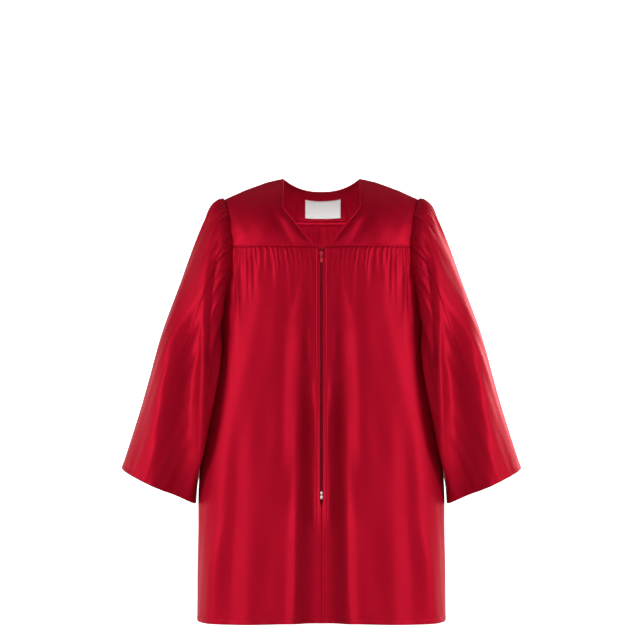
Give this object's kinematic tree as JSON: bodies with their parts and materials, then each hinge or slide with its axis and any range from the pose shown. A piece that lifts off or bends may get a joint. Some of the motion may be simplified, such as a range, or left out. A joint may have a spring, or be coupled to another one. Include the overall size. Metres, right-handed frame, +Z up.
{
  "type": "graduation gown",
  "caption": "Child's zip-front graduation gown in satin, filled out and hollow, with plain yokes, gathered fronts and back, and wide bell sleeves.",
  "frame": {"origin": "middle of the neck opening, level with the neck ends of the shoulder seams", "axes": "+Z up, -Y the way the front faces, +X to the wearer's left"},
  "size_m": [0.8172, 0.3062, 0.9086],
  "materials": {
    "satin": "red polyester satin, soft sheen",
    "label": "white woven label, matt",
    "zip_tape": "dark red woven tape, matt",
    "zip_teeth": "dark red plastic",
    "zip_slider": "red lacquered zinc",
    "zip_stop": "bright"
  },
  "bodies": {
    "gown": {"yoke_front_left": "satin", "yoke_front_right": "satin", "yoke_back": "satin", "front_left": "satin", "front_right": "satin", "back": "satin", "sleeve_left": "satin", "sleeve_right": "satin", "label": "label", "zip_tape_left": "zip_tape", "zip_tape_right": "zip_tape", "zip_teeth_left": "zip_teeth", "zip_teeth_right": "zip_teeth", "zip_slider": "zip_slider", "zip_bottom_stop": "zip_stop"},
    "pull_tab": {"zip_pull_tab": "zip_slider"}
  },
  "joints": [
    {"name": "pull_tab_swing", "type": "hinge", "parent": "gown", "child": "pull_tab", "pos_m": [0, -0.10717, -0.1564], "axis": [-1, 0, 0], "range_deg": [0, 150]}
  ]
}
